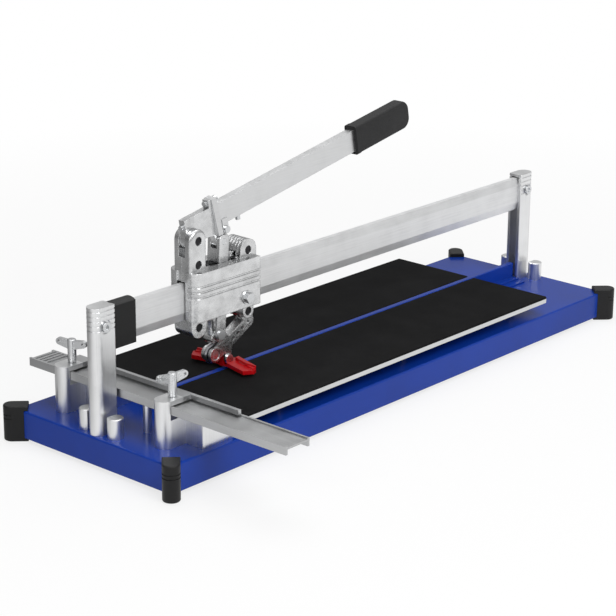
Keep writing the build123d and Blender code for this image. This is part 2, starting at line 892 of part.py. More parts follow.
def band(start, start_radius, end, end_radius, mode=Mode.ADD):
    """Straight bar with a round end about each of two spots."""
    with Locations(start):
        first = Circle(start_radius, mode=mode)
    with Locations(end):
        second = Circle(end_radius, mode=mode)
    make_hull(first.edges() + second.edges(), mode=mode)


wing_top = lip_top + wing_lift + wing_barrel_height
for side, sign in sides.items():
    wing_y = sign * post_nose_y
    wing_turn = math.radians(wing_turns[side])
    blade = Plane(
        origin=(wing_x, wing_y, wing_top),
        x_dir=(math.cos(wing_turn), math.sin(wing_turn), 0),
        z_dir=(math.sin(wing_turn), -math.cos(wing_turn), 0),
    )
    with BuildPart() as wing_screw:
        with BuildSketch(Plane.XY.offset(bar_top + wing_tip_gap)):
            with Locations((wing_x, wing_y)):
                Circle(wing_thread_radius)
        extrude(amount=lip_top + wing_lift - bar_top - wing_tip_gap)
        with BuildSketch(Plane.XY.offset(lip_top + wing_lift)):
            with Locations((wing_x, wing_y)):
                Circle(wing_barrel_radius)
        extrude(amount=wing_barrel_height)
        chamfer(wing_screw.faces().sort_by(Axis.Z)[-1].edges(), 1)
        for lobe in (-1, 1):
            lobe_spot = (lobe * wing_lobe_offset, -wing_lobe_drop)
            with BuildSketch(blade):
                band((0, -wing_root_drop), wing_root_radius, lobe_spot, wing_lobe_radius)
                with Locations(lobe_spot):
                    Circle(wing_hole_radius, mode=Mode.SUBTRACT)
            extrude(amount=wing_thickness / 2, both=True)
    save(wing_screw, f"wing_screw_{side}")

# Carriage: the two shells are mirror images, apart from the adjuster's hole in the right one
adjuster_spot = (carriage_x + adjuster_x, rail_bottom + adjuster_height)
upper_axle_spots = [
    (carriage_x + upper_roller_inset, upper_axle_z),
    (rear_axle_x - upper_roller_inset, upper_axle_z),
]
lower_axle_spots = [(carriage_x, lower_axle_z), (rear_axle_x, lower_axle_z)]
tie_spots = [(carriage_x, tie_z), (rear_axle_x, tie_z)]
pivot_spot = (carriage_x, pivot_z)
plate_front_x = carriage_x - plate_front
plate_rear_x = rear_axle_x + plate_rear
ear_root = rail_top + ear_root_gap


def plate_outline():
    """Plan of a shell's side plate, its front outer corner rounded."""
    with Locations((plate_front_x, -shell_inner_y)):
        plan = Rectangle(
            plate_rear_x - plate_front_x,
            plate_outer_y - shell_inner_y,
            align=(Align.MIN, Align.MAX),
        )
    outer_corners = plan.vertices().group_by(Axis.Y)[0].sort_by(Axis.X)
    fillet(outer_corners[0], plate_front_radius)


def ear(spot, radius, root):
    """Round ear with straight flanks down or up to the height root."""
    with Locations(spot):
        Circle(radius)
    with Locations((spot[0], (spot[1] + root) / 2)):
        Rectangle(2 * radius, abs(spot[1] - root))


with BuildPart() as pivot_ear:
    with BuildSketch(across(-ear_inner_y)):
        ear(pivot_spot, ear_radius, ear_root)
    extrude(amount=ear_outer_y - ear_inner_y)
    outer_edges = pivot_ear.faces().sort_by(Axis.Y)[0].edges().sort_by(Axis.Z)
    fillet(outer_edges[1:], ear_edge_radius)

with BuildPart() as shell_blank:
    add(pivot_ear.part)
    with BuildSketch(Plane.XY.offset(plate_bottom)):
        plate_outline()
    extrude(amount=plate_top - plate_bottom)
    for drop in plate_groove_drops:
        with BuildSketch(Plane.XY.offset(plate_top - drop)):
            plate_outline()
            offset(amount=-plate_groove_depth, kind=Kind.INTERSECTION, mode=Mode.SUBTRACT)
            with Locations((plate_front_x, -shell_inner_y)):
                Rectangle(
                    4 * axle_spacing,
                    plate_outer_y - plate_front_radius - shell_inner_y,
                    align=(Align.CENTER, Align.MAX),
                    mode=Mode.SUBTRACT,
                )
        extrude(amount=-plate_groove_width, mode=Mode.SUBTRACT)
    with BuildSketch(across(-ear_inner_y)):
        ear(tie_spots[1], ear_radius, ear_root)
    extrude(amount=ear_outer_y - ear_inner_y)
    with BuildSketch(across(0)):
        ear(tie_spots[1], ear_radius, ear_root)
        with Locations(upper_axle_spots[1]):
            Circle(roller_radius + roller_guard_gap, mode=Mode.SUBTRACT)
    extrude(amount=ear_inner_y)
    with BuildSketch(Plane.XY.offset(ear_root)):
        with Locations((carriage_x - ear_radius, 0)):
            Rectangle(front_wall, ear_inner_y, align=(Align.MIN, Align.MAX))
    extrude(amount=pivot_z - front_wall_drop - ear_root)
    with BuildSketch(across(-shell_inner_y)):
        ear(lower_axle_spots[0], lower_ear_radius, plate_bottom)
        ear(lower_axle_spots[1], rear_ear_radius, plate_bottom)
    extrude(amount=ear_outer_y - shell_inner_y)
    with BuildSketch(across(0)):
        ear(lower_axle_spots[0], lower_ear_radius, plate_bottom)
        with Locations(lower_axle_spots[0]):
            Circle(roller_radius + roller_guard_gap, mode=Mode.SUBTRACT)
            Rectangle(4 * ear_radius, 4 * ear_radius, align=(Align.MIN, Align.CENTER), mode=Mode.SUBTRACT)
        with Locations((carriage_x, plate_bottom)):
            Rectangle(4 * ear_radius, 4 * ear_radius, align=(Align.CENTER, Align.MIN), mode=Mode.SUBTRACT)
    extrude(amount=shell_inner_y)
    for groove_y in ear_groove_spots:
        with BuildSketch(across(ear_groove_width / 2 - groove_y)):
            with Locations(tie_spots[1]):
                Circle(ear_radius + ear_groove_depth)
                Circle(ear_radius - ear_groove_depth, mode=Mode.SUBTRACT)
            with Locations((rear_axle_x, plate_top)):
                Rectangle(
                    4 * ear_radius,
                    4 * ear_radius,
                    align=(Align.CENTER, Align.MAX),
                    mode=Mode.SUBTRACT,
                )
        extrude(amount=ear_groove_width, mode=Mode.SUBTRACT)
    leg_slot_y = rod_leg_inner_y + rod_leg + leg_slot_clearance
    with BuildSketch(Plane.XY.offset(plate_bottom)):
        with Locations((carriage_x + leg_slot_front, -shell_inner_y)):
            Rectangle(
                leg_slot_rear - leg_slot_front,
                leg_slot_y - shell_inner_y,
                align=(Align.MIN, Align.MAX),
            )
    extrude(amount=plate_top - plate_bottom, mode=Mode.SUBTRACT)
    with BuildSketch(across(0)):
        with Locations(pivot_spot, *lower_axle_spots):
            Circle(axle_radius)
        with Locations(*tie_spots):
            Circle(tie_radius)
    extrude(amount=ear_outer_y, mode=Mode.SUBTRACT)
    with BuildSketch(across(bolt_seat_depth - ear_outer_y)):
        with Locations(pivot_spot, *lower_axle_spots, *tie_spots):
            Circle(bolt_seat_radius)
    extrude(amount=bolt_seat_depth, mode=Mode.SUBTRACT)
    with BuildSketch(across(0)):
        with Locations(*upper_axle_spots):
            Circle(axle_radius)
    extrude(amount=upper_axle_reach, mode=Mode.SUBTRACT)

with BuildPart() as carriage_shell_left:
    mirror(shell_blank.part, about=Plane.XZ)
save(carriage_shell_left, "carriage_shell_left")

with BuildPart() as carriage_shell_right:
    add(shell_blank.part)
    with BuildSketch(across(0)):
        with Locations(adjuster_spot):
            Circle(adjuster_radius)
    extrude(amount=plate_outer_y, mode=Mode.SUBTRACT)
save(carriage_shell_right, "carriage_shell_right")

bolt_floor_y = ear_outer_y - bolt_seat_depth


def cross_bolts(spots, radius, name):
    """Bolts through both shells, their round heads sunk in the ears on either side."""
    with BuildPart() as bolts:
        with BuildSketch(across(bolt_floor_y)):
            with Locations(*spots):
                Circle(radius)
        extrude(amount=2 * bolt_floor_y)
        for head_y in (bolt_floor_y + bolt_cap_height, -bolt_floor_y):
            with BuildSketch(across(head_y)):
                with Locations(*spots):
                    Circle(bolt_seat_radius - bolt_cap_gap)
            extrude(amount=bolt_cap_height)
    save(bolts, name)


cross_bolts([pivot_spot], axle_radius, "lever_pivot_bolt")
cross_bolts(tie_spots, tie_radius, "carriage_tie_bolts")
cross_bolts(lower_axle_spots, axle_radius, "lower_roller_axles")

with BuildPart() as upper_roller_axles:
    with BuildSketch(across(upper_axle_reach)):
        with Locations(*upper_axle_spots):
            Circle(axle_radius)
    extrude(amount=2 * upper_axle_reach)
save(upper_roller_axles, "upper_roller_axles")

roller_spots = {
    "roller_lower_front": lower_axle_spots[0],
    "roller_lower_rear": lower_axle_spots[1],
    "roller_upper_front": upper_axle_spots[0],
    "roller_upper_rear": upper_axle_spots[1],
}
for name, spot in roller_spots.items():
    with BuildPart() as roller:
        with BuildSketch(across(roller_width / 2)):
            with Locations(spot):
                Circle(roller_radius)
                Circle(axle_radius + axle_clearance, mode=Mode.SUBTRACT)
        extrude(amount=roller_width)
    save(roller, name)

# Adjuster bolt: its tip backs a brass pad that runs on the side of the rail
with BuildPart() as adjuster_bolt:
    with BuildSketch(across(-shell_inner_y)):
        with Locations(adjuster_spot):
            Circle(adjuster_radius)
    extrude(amount=plate_outer_y - shell_inner_y)
    with BuildSketch(across(-plate_outer_y)):
        with Locations(adjuster_spot):
            Circle(adjuster_washer_radius)
    extrude(amount=adjuster_washer_height)
    with BuildSketch(across(-plate_outer_y - adjuster_washer_height)):
        with Locations(adjuster_spot):
            RegularPolygon(adjuster_head_radius, 6)
    extrude(amount=adjuster_head_height)
save(adjuster_bolt, "adjuster_bolt")

with BuildPart() as guide_pads:
    pad_front_spot = (carriage_x, adjuster_spot[1])
    pad_thickness = shell_inner_y - rail_half - pad_gap
    for pad_y in (shell_inner_y, -rail_half - pad_gap):
        with BuildSketch(across(pad_y)):
            with Locations(adjuster_spot, pad_front_spot):
                Circle(pad_radius)
        extrude(amount=pad_thickness)
save(guide_pads, "guide_pads")

# Lever frame: x along the tube, y square to it, with its zero on the head's flange face
slope = math.radians(lever_slope)
along_lever = Vector(math.cos(slope), 0, math.sin(slope))
flange_face = Vector(carriage_x + flange_run, 0, pivot_z + flange_rise)


def lever_plane(half_width):
    """Plane along the lever, standing on its left side at half_width."""
    return Plane(
        origin=(flange_face.X, half_width, flange_face.Z),
        x_dir=along_lever,
        z_dir=(0, -1, 0),
    )


def lever_point(run, rise):
    """Place on the lever's middle plane, as x and z."""
    return (
        flange_face.X + run * math.cos(slope) - rise * math.sin(slope),
        flange_face.Z + run * math.sin(slope) + rise * math.cos(slope),
    )


flange_half = flange_height / 2
rod_pin_spot = (rod_pin_x, rod_pin_z)
arm_pin_spot = (arm_pin_x, arm_pin_z)
wheel_spot = (wheel_x, wheel_z)
toe_spot = (toe_x, toe_z)
arm_pivot_spot = lower_axle_spots[1]
lug_spot = lever_point(lug_bolt_run, -lug_bolt_drop)
tube_half = tube_height / 2


def lever_end(run):
    """Plane square to the tube at run, with Y to the right and the lever's height upwards."""
    return Plane(origin=flange_face + along_lever * run, x_dir=(0, 1, 0), z_dir=along_lever)


with BuildPart() as lever_head:
    with BuildSketch(across(head_half_width)):
        Polygon(
            (carriage_x - head_pivot_radius, pivot_z),
            lever_point(-head_length, head_top - head_nose_height),
            lever_point(-head_length, head_top),
            lever_point(-head_lug, head_top),
            lever_point(-head_lug, flange_half),
            lever_point(0, flange_half),
            lever_point(0, -flange_half),
            (carriage_x + head_chin_run, pivot_z - head_chin_drop),
            (carriage_x, pivot_z - head_chin_drop),
            align=None,
        )
        Polygon(
            lever_point(0, -flange_half),
            lever_point(flange_thickness, -flange_half),
            lever_point(flange_thickness, -tube_half),
            lever_point(lug_bolt_run + lug_radius, -tube_half),
            lever_point(lug_bolt_run + lug_radius, -lug_bolt_drop),
            (rod_pin_x + rod_tongue_radius, rod_pin_z),
            (rod_pin_x - rod_tongue_radius, rod_pin_z),
            (carriage_x + head_chin_run, pivot_z - head_chin_drop),
            align=None,
        )
        with Locations(pivot_spot):
            Circle(head_pivot_radius)
        with Locations(rod_pin_spot):
            Circle(rod_tongue_radius)
        with Locations(pivot_spot):
            Circle(axle_radius + axle_clearance, mode=Mode.SUBTRACT)
        with Locations(rod_pin_spot):
            Circle(rod_pin_radius, mode=Mode.SUBTRACT)
        with Locations(lug_spot):
            Circle(flange_bolt_radius, mode=Mode.SUBTRACT)
    extrude(amount=2 * head_half_width)
    with BuildSketch(lever_end(0)):
        with Locations((0, flange_bolt_offset)):
            Circle(flange_bolt_radius)
    extrude(amount=-head_lug, mode=Mode.SUBTRACT)
    with BuildSketch(lever_end(-head_length)):
        with Locations((0, head_top - nose_screw_drop)):
            Circle(small_shank_radius)
    extrude(amount=small_shank_length, mode=Mode.SUBTRACT)
save(lever_head, "lever_head")

# Tube with its end flange and the two lugs under it welded on
under_screw_spot = lever_point(under_screw_run, -tube_half)
under_screw_plane = Plane(
    origin=(under_screw_spot[0], 0, under_screw_spot[1]),
    x_dir=(0, 1, 0),
    z_dir=(math.sin(slope), 0, -math.cos(slope)),
)
lug_outer_y = head_half_width + lug_thickness
with BuildPart() as lever_tube:
    with BuildSketch(lever_end(0)):
        Polygon(
            (-flange_half_foot, -flange_half),
            (flange_half_foot, -flange_half),
            (flange_half_top, flange_half),
            (-flange_half_top, flange_half),
            align=None,
        )
        with Locations((0, flange_bolt_offset)):
            Circle(flange_bolt_radius, mode=Mode.SUBTRACT)
    extrude(amount=flange_thickness)
    with BuildSketch(lever_end(flange_thickness)):
        Rectangle(tube_width, tube_height)
        Rectangle(tube_width - 2 * tube_wall, tube_height - 2 * tube_wall, mode=Mode.SUBTRACT)
    extrude(amount=tube_length)
    for lug_y in (lug_outer_y, -head_half_width):
        with BuildSketch(lever_plane(lug_y)):
            with Locations((lug_bolt_run, -lug_bolt_drop)):
                Circle(lug_radius)
            with Locations((lug_bolt_run, -lug_bolt_drop)):
                Rectangle(
                    2 * lug_radius,
                    lug_bolt_drop - tube_half + lug_rise,
                    align=(Align.CENTER, Align.MIN),
                )
            with Locations((lug_bolt_run, -lug_bolt_drop)):
                Circle(flange_bolt_radius, mode=Mode.SUBTRACT)
        extrude(amount=lug_thickness)
    with BuildSketch(under_screw_plane):
        Circle(small_shank_radius)
    extrude(amount=-tube_wall, mode=Mode.SUBTRACT)
save(lever_tube, "lever_tube")

with BuildPart() as flange_bolts:
    with BuildSketch(lever_end(flange_thickness)):
        with Locations((0, flange_bolt_offset)):
            Circle(flange_bolt_head_radius)
    extrude(amount=flange_bolt_head_height)
    with BuildSketch(lever_end(flange_thickness)):
        with Locations((0, flange_bolt_offset)):
            Circle(flange_bolt_radius)
    extrude(amount=-flange_thickness - head_lug - flange_nut_height)
    with BuildSketch(lever_end(-head_lug)):
        with Locations((0, flange_bolt_offset)):
            RegularPolygon(flange_nut_radius, 6)
    extrude(amount=-flange_nut_height)
    with BuildSketch(across(lug_outer_y)):
        with Locations(lug_spot):
            Circle(flange_bolt_radius)
    extrude(amount=2 * lug_outer_y)
    for head_y in (lug_outer_y + lug_bolt_head_height, -lug_outer_y):
        with BuildSketch(across(head_y)):
            with Locations(lug_spot):
                Circle(lug_bolt_head_radius)
        extrude(amount=lug_bolt_head_height)
save(flange_bolts, "flange_bolts")

# One screw in the nose of the head and one under the tube
with BuildPart() as lever_screws:
    with BuildSketch(lever_end(-head_length)):
        with Locations((0, head_top - nose_screw_drop)):
            Circle(small_shank_radius)
    extrude(amount=small_shank_length)
    with BuildSketch(lever_end(-head_length)):
        with Locations((0, head_top - nose_screw_drop)):
            Circle(nose_screw_radius)
    extrude(amount=-nose_screw_height)
    with BuildSketch(under_screw_plane):
        Circle(small_shank_radius)
    extrude(amount=-small_shank_length)
    with BuildSketch(under_screw_plane):
        Circle(under_screw_radius)
    extrude(amount=under_screw_height)
save(lever_screws, "lever_screws")

tube_end = flange_thickness + tube_length
grip_half_width = tube_width / 2 + grip_wall_side
grip_height = tube_height + 2 * grip_wall_top
with BuildPart() as lever_grip:
    with BuildSketch(lever_plane(grip_half_width)):
        with Locations((grip_start, 0)):
            outline = Rectangle(grip_length, grip_height, align=(Align.MIN, Align.CENTER))
        fillet(outline.vertices().group_by(Axis.X)[-1], grip_end_radius)
    extrude(amount=2 * grip_half_width)
    fillet(lever_grip.faces().filter_by(Axis.Y).edges(), grip_edge_radius)
    with BuildSketch(lever_end(grip_start)):
        RectangleRounded(
            2 * (grip_half_width + grip_lip),
            grip_height + 2 * grip_lip,
            grip_edge_radius + grip_lip,
        )
    extrude(amount=grip_lip_length)
    with BuildSketch(lever_end(grip_start)):
        Rectangle(tube_width, tube_height)
    extrude(amount=tube_end - grip_start, mode=Mode.SUBTRACT)
save(lever_grip, "lever_grip")

rod_outer_y = rod_leg_inner_y + rod_leg
with BuildPart() as rod_pin:
    with BuildSketch(across(rod_outer_y)):
        with Locations(rod_pin_spot):
            Circle(rod_pin_radius)
    extrude(amount=2 * rod_outer_y)
save(rod_pin, "rod_pin")

# Push rod: a solid head slotted for the lever's tongue, and a leg down each side of the rail
with BuildPart() as push_rod:
    with BuildSketch(across(rod_outer_y)):
        with Locations(rod_pin_spot):
            Circle(rod_head_radius)
        with Locations(arm_pin_spot):
            Circle(rod_foot_radius)
        make_hull()
        Polygon(
            (rod_pin_x - rod_head_radius, rod_pin_z),
            (rod_pin_x + rod_head_radius, rod_pin_z),
            (rod_pin_x + rod_head_radius, rod_pin_z + rod_shoulder_rise),
            (rod_pin_x + rod_crown_half, rod_pin_z + rod_crown_rise),
            (rod_pin_x - rod_crown_half, rod_pin_z + rod_crown_rise),
            (rod_pin_x - rod_head_radius, rod_pin_z + rod_shoulder_rise),
            align=None,
        )
        with Locations(rod_pin_spot):
            Circle(rod_pin_radius + axle_clearance, mode=Mode.SUBTRACT)
        with Locations(arm_pin_spot):
            Circle(arm_pin_radius + arm_pin_play, mode=Mode.SUBTRACT)
    extrude(amount=2 * rod_outer_y)
    with BuildSketch(across(rod_leg_inner_y)):
        with Locations((rod_pin_x, rod_pin_z - rod_block_drop)):
            Rectangle(6 * rod_head_radius, 2 * rod_pin_z, align=(Align.CENTER, Align.MAX))
    extrude(amount=2 * rod_leg_inner_y, mode=Mode.SUBTRACT)
    rod_slot_half = head_half_width + rod_slot_clearance
    with BuildSketch(across(rod_slot_half)):
        with Locations((rod_pin_x, rod_pin_z - rod_slot_drop)):
            Rectangle(6 * rod_head_radius, 6 * rod_head_radius, align=(Align.CENTER, Align.MIN))
    extrude(amount=2 * rod_slot_half, mode=Mode.SUBTRACT)
save(push_rod, "push_rod")

# Wheel arm: two bent cheeks joined by a web along the slant and a block for the height screw in front
arm_outer_y = arm_inner_y + arm_cheek
screw_spot = (screw_x, screw_z)
elbow_spot = (rear_axle_x + arm_elbow_run, lower_axle_z + arm_elbow_drop)
fork_spot = (rear_axle_x + arm_fork_run, lower_axle_z + arm_fork_drop)


def slant_point(share):
    """Place on the arm's slant, at a share of the way from the elbow to the fork."""
    return (
        elbow_spot[0] + share * (fork_spot[0] - elbow_spot[0]),
        elbow_spot[1] + share * (fork_spot[1] - elbow_spot[1]),
    )


with BuildPart() as wheel_arm:
    with BuildSketch(across(arm_outer_y)):
        band(arm_pivot_spot, arm_pivot_radius, elbow_spot, arm_band_radius)
        band(elbow_spot, arm_band_radius, fork_spot, arm_band_radius)
        band(fork_spot, arm_band_radius, wheel_spot, arm_wheel_boss)
        band(fork_spot, arm_fork_radius, toe_spot, arm_toe_boss)
        band(fork_spot, arm_fork_radius, arm_pin_spot, arm_pin_boss)
        band(arm_pin_spot, arm_screw_boss, screw_spot, arm_screw_boss)
    extrude(amount=2 * arm_outer_y)
    with BuildSketch(across(arm_inner_y)):
        with Locations(fork_spot):
            Rectangle(24 * arm_band_radius, 24 * arm_band_radius)
        band(
            slant_point(arm_web_start),
            arm_web_radius,
            slant_point(arm_web_end),
            arm_web_radius,
            Mode.SUBTRACT,
        )
        with Locations(screw_spot):
            Circle(arm_screw_boss, mode=Mode.SUBTRACT)
    extrude(amount=2 * arm_inner_y, mode=Mode.SUBTRACT)
    for ring_y in (arm_outer_y + hub_ring_height, -arm_outer_y):
        with BuildSketch(across(ring_y)):
            with Locations(wheel_spot):
                Circle(arm_wheel_boss)
                Circle(hub_ring_inner, mode=Mode.SUBTRACT)
        extrude(amount=hub_ring_height)
    with BuildSketch(across(arm_outer_y)):
        with Locations(arm_pivot_spot):
            Circle(axle_radius + axle_clearance)
        with Locations(arm_pin_spot):
            Circle(arm_pin_radius)
        with Locations(wheel_spot):
            Circle(wheel_axle_radius)
        with Locations(toe_spot):
            Circle(breaker_pin_radius)
        with Locations(*[slant_point(share) for share in arm_hole_spots]):
            Circle(arm_hole_radius)
    extrude(amount=2 * arm_outer_y, mode=Mode.SUBTRACT)
    with BuildSketch(Plane.XY.offset(screw_z - arm_screw_boss)):
        with Locations((screw_x, 0)):
            Circle(height_screw_radius)
    extrude(amount=2 * arm_screw_boss, mode=Mode.SUBTRACT)
save(wheel_arm, "wheel_arm")

with BuildPart() as height_screw:
    with BuildSketch(Plane.XY.offset(screw_z - arm_screw_boss)):
        with Locations((screw_x, 0)):
            Circle(height_screw_radius)
    extrude(amount=arm_screw_boss + height_screw_head_bottom)
    with BuildSketch(Plane.XY.offset(screw_z + height_screw_collar_bottom)):
        with Locations((screw_x, 0)):
            Circle(height_screw_collar_radius)
    extrude(amount=height_screw_collar_top - height_screw_collar_bottom)
    with BuildSketch(Plane.XY.offset(screw_z + height_screw_head_bottom)):
        with Locations((screw_x, 0)):
            RegularPolygon(height_screw_head_radius, 6)
    extrude(amount=height_screw_top - height_screw_head_bottom)
save(height_screw, "height_screw")

arm_pin_inner = rod_outer_y + arm_pin_cap_gap
with BuildPart() as arm_pin:
    with BuildSketch(across(arm_pin_inner)):
        with Locations(arm_pin_spot):
            Circle(arm_pin_radius)
    extrude(amount=2 * arm_pin_inner)
    for cap_y in (arm_pin_inner + arm_pin_cap_height, -arm_pin_inner):
        with BuildSketch(across(cap_y)):
            with Locations(arm_pin_spot):
                Circle(arm_pin_cap_radius)
        extrude(amount=arm_pin_cap_height)
save(arm_pin, "arm_pin")

with BuildPart() as wheel_axle:
    with BuildSketch(across(arm_outer_y)):
        with Locations(wheel_spot):
            Circle(wheel_axle_radius)
    extrude(amount=2 * arm_outer_y)
    for head_y in (arm_outer_y + wheel_axle_head_height, -arm_outer_y):
        with BuildSketch(across(head_y)):
            with Locations(wheel_spot):
                Circle(wheel_axle_head)
        extrude(amount=wheel_axle_head_height)
save(wheel_axle, "wheel_axle")

wheel_plane = Plane(origin=(wheel_x, 0, wheel_z), x_dir=(0, 1, 0), z_dir=(1, 0, 0))
hub_half = arm_inner_y - wheel_side_gap
with BuildPart() as cutting_wheel:
    with BuildSketch(wheel_plane):
        Polygon(
            (-hub_half, wheel_axle_radius + axle_clearance),
            (hub_half, wheel_axle_radius + axle_clearance),
            (hub_half, wheel_hub_radius),
            (wheel_rim / 2, wheel_hub_radius),
            (wheel_rim / 2, wheel_radius - wheel_bevel),
            (wheel_edge / 2, wheel_radius),
            (-wheel_edge / 2, wheel_radius),
            (-wheel_rim / 2, wheel_radius - wheel_bevel),
            (-wheel_rim / 2, wheel_hub_radius),
            (-hub_half, wheel_hub_radius),
            align=None,
        )
    revolve(axis=Axis((wheel_x, 0, wheel_z), (0, 1, 0)))
save(cutting_wheel, "cutting_wheel")

with BuildPart() as breaker_pin:
    with BuildSketch(across(arm_outer_y)):
        with Locations(toe_spot):
            Circle(breaker_pin_radius)
    extrude(amount=2 * arm_outer_y)
    for head_y in (arm_outer_y + breaker_pin_head_height, -arm_outer_y):
        with BuildSketch(across(head_y)):
            with Locations(toe_spot):
                Circle(breaker_pin_head_radius)
        extrude(amount=breaker_pin_head_height)
save(breaker_pin, "breaker_pin")

# Breaker foot: two wings swept forwards with a raised rear rim, and a lug between the arm's cheeks
breaker_bottom = toe_z - breaker_drop
breaker_top = breaker_bottom + breaker_thickness
rear_corner_x = toe_x + breaker_rear_corner_run
wing_side = [
    (toe_x + breaker_root_front, breaker_root_y),
    (toe_x + breaker_front_corner_run, breaker_front_corner_y),
    (toe_x + breaker_tip_run, breaker_half_span),
    (rear_corner_x, breaker_rear_corner_y),
    (toe_x + breaker_root_rear, breaker_root_y),
]
with BuildPart() as breaker_foot:
    with BuildSketch(Plane.XY.offset(breaker_bottom)):
        Polygon(*wing_side, *[(x, -y) for x, y in reversed(wing_side)], align=None)
    extrude(amount=breaker_thickness)
    fillet(breaker_foot.faces().sort_by(Axis.Z)[0].edges(), breaker_edge_radius)
    with BuildSketch(Plane.XY.offset(breaker_top)):
        for wing in (-1, 1):
            Polygon(
                (toe_x + breaker_root_rear - breaker_rim_width, wing * breaker_root_y),
                (toe_x + breaker_root_rear, wing * breaker_root_y),
                (rear_corner_x, wing * breaker_rear_corner_y),
                (rear_corner_x - breaker_rim_width, wing * breaker_rear_corner_y),
                align=None,
            )
    extrude(amount=breaker_rim_height)
    with BuildSketch(across(breaker_lug_half_width)):
        with Locations(toe_spot):
            Circle(breaker_lug_radius)
        with Locations((toe_x, breaker_bottom)):
            Rectangle(2 * breaker_lug_radius, breaker_drop, align=(Align.CENTER, Align.MIN))
    extrude(amount=2 * breaker_lug_half_width)
    pocket_outer_y = arm_outer_y + breaker_pin_head_height + arm_side_clearance
    for pocket_y in (pocket_outer_y, -breaker_lug_half_width):
        with BuildSketch(across(pocket_y)):
            with Locations(toe_spot):
                Circle(breaker_pin_head_radius + arm_toe_clearance)
            with Locations((toe_x, breaker_bottom + breaker_floor)):
                Rectangle(8 * breaker_lug_radius, 4 * breaker_drop, align=(Align.MAX, Align.MIN))
        extrude(amount=pocket_outer_y - breaker_lug_half_width, mode=Mode.SUBTRACT)
    with BuildSketch(across(breaker_half_span)):
        with Locations(toe_spot):
            Circle(breaker_pin_radius + axle_clearance)
    extrude(amount=2 * breaker_half_span, mode=Mode.SUBTRACT)
save(breaker_foot, "breaker_foot")
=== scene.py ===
import json
import math

import bpy
from mathutils import Matrix, Vector


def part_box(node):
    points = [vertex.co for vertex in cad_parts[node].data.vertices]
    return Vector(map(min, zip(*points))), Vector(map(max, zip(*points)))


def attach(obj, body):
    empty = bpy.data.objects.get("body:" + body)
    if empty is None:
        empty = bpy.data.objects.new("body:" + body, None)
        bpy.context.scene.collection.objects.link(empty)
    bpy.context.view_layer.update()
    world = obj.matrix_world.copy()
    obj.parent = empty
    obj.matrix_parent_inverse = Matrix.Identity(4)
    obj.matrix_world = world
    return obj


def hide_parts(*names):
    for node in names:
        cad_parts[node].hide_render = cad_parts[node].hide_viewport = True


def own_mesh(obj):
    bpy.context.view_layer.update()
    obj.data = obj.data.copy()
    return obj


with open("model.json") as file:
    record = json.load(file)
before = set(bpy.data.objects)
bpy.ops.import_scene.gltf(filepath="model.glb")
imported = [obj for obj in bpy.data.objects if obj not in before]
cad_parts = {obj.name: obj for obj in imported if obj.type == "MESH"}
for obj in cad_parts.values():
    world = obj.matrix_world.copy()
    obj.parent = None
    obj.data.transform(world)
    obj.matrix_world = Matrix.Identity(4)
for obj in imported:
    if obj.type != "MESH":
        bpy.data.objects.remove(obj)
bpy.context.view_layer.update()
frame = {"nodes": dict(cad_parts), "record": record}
nodes = frame["nodes"]
scene = bpy.context.scene
white = (1, 1, 1, 1)


# Node trees

class Tree:
    """A node tree, with short calls to add and join nodes."""

    def __init__(self, tree):
        self.tree = tree

    def add(self, kind, **settings):
        node = self.tree.nodes.new(kind)
        for key, value in settings.items():
            setattr(node, key, value)
        return node

    def join(self, source, target):
        self.tree.links.new(source, target)

    def combine(self, operation, first, second):
        """Two values put together by one math operation."""
        node = self.add("ShaderNodeMath", operation=operation)
        self.join(first, node.inputs[0])
        self.join(second, node.inputs[1])
        return node.outputs[0]

    def average(self, first, second):
        half = self.add("ShaderNodeMath", operation="MULTIPLY")
        half.inputs[1].default_value = 0.5
        self.join(self.combine("ADD", first, second), half.inputs[0])
        return half.outputs[0]

    def rescale(self, value, across, onto):
        """Map the range across onto the range onto, with the ends held beyond it."""
        node = self.add("ShaderNodeMapRange")
        node.inputs["From Min"].default_value = across[0]
        node.inputs["From Max"].default_value = across[1]
        node.inputs["To Min"].default_value = onto[0]
        node.inputs["To Max"].default_value = onto[1]
        self.join(value, node.inputs["Value"])
        return node.outputs["Result"]

    def reflected(self, light_path):
        """1 for rays that come from a mirroring or clear surface, else 0."""
        return self.combine("MAXIMUM", light_path["Is Glossy Ray"], light_path["Is Transmission Ray"])


# How closely noise is packed along X, Y and Z: a small number draws it out along that axis
uniform = (1, 1, 1)
along_x = (14, 900, 900)
along_y = (900, 14, 900)
along_z = (900, 900, 14)
even_grain = (250, 250, 250)

# The values that noise mostly takes
noise_span = (0.3, 0.7)
noise_middle = 0.5


